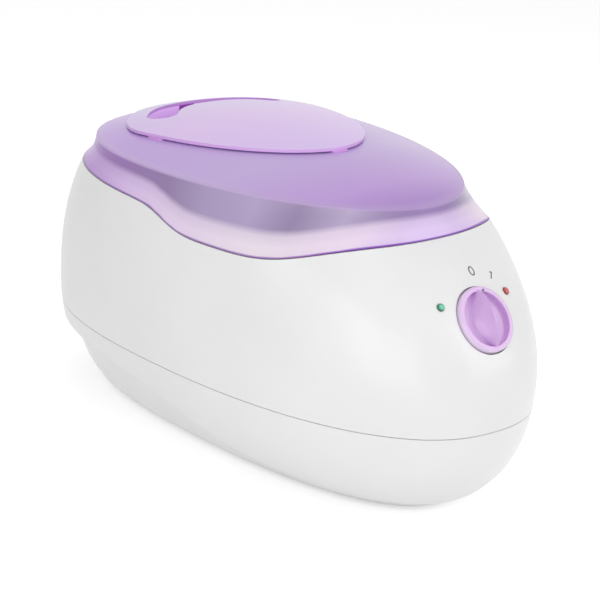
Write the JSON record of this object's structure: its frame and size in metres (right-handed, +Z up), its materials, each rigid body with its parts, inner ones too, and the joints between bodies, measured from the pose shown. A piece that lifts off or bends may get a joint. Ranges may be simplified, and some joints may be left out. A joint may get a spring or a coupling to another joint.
{
  "type": "paraffin bath",
  "caption": "Egg-shaped paraffin bath: lift-off translucent lid with a leaf-shaped handle plate, heated wax tank with a loose grille, rotary control and indicator lamps.",
  "frame": {"origin": "on the floor under the middle of the casing, at the bottom of the rubber feet", "axes": "+X along the length towards the control end, +Y to the far side, +Z up"},
  "size_m": [0.3701, 0.216, 0.2059],
  "materials": {
    "casing_plastic": "smooth white moulding, satin gloss",
    "lid_plastic": "translucent purple, glossy",
    "handle_plastic": "pale lilac, satin gloss",
    "cup_plastic": "lilac, satin gloss",
    "clip_plastic": "bright pink, glossy",
    "knob_plastic": "pale lilac, satin",
    "green_lens": "clear green lens",
    "red_lens": "clear red lens",
    "tank_metal": "drawn aluminium, satin",
    "silicone": "soft pale silicone",
    "grille_plastic": "white moulding",
    "zinc_steel": "zinc plated",
    "brass": "bright brass",
    "element_steel": "heat-tinted tube",
    "insulation": "fibre blanket",
    "fuse_case": "ceramic-coloured case",
    "thermostat_plastic": "dark moulded case",
    "dark_plastic": "black nylon",
    "block_plastic": "pale nylon",
    "lead_sleeve": "silicone sleeve",
    "foot_rubber": "soft dark rubber"
  },
  "bodies": {
    "base": {"housing": "casing_plastic", "base_cover": "casing_plastic", "wax_pot": "tank_metal", "pot_gasket": "silicone", "pot_nuts": "zinc_steel", "heater_plate": "tank_metal", "heating_element": "element_steel", "element_clamps": "zinc_steel", "clamp_nuts": "zinc_steel", "insulation_blanket": "insulation", "thermal_fuse": "fuse_case", "fuse_clip": "zinc_steel", "earth_screw": "brass", "thermostat_body": "thermostat_plastic", "thermostat_bracket": "zinc_steel", "spindle_nut": "zinc_steel", "green_lens": "green_lens", "red_lens": "red_lens", "lamp_holders": "dark_plastic", "cord_gland": "dark_plastic", "cord_clamp": "dark_plastic", "clamp_screws": "zinc_steel", "terminal_block": "block_plastic", "leads": "lead_sleeve", "rubber_feet": "foot_rubber", "base_screws": "zinc_steel"},
    "lid": {"lid_shell": "lid_plastic", "handle_plate": "handle_plastic", "finger_cup": "cup_plastic", "handle_clips": "clip_plastic"},
    "grille": {"guard_grille": "grille_plastic"},
    "knob": {"control_knob": "knob_plastic", "thermostat_spindle": "zinc_steel"}
  },
  "joints": [
    {"name": "lid_lift", "type": "slide", "parent": "base", "child": "lid", "axis": [0, 0, 1], "range_m": [0, 0.14]},
    {"name": "grille_lift", "type": "slide", "parent": "base", "child": "grille", "axis": [0, 0, 1], "range_m": [0, 0.08]},
    {"name": "knob_turn", "type": "hinge", "parent": "base", "child": "knob", "pos_m": [0.16582, 0, 0.1291], "axis": [-0.7999, 0, -0.6001], "range_deg": [0, 30]}
  ]
}
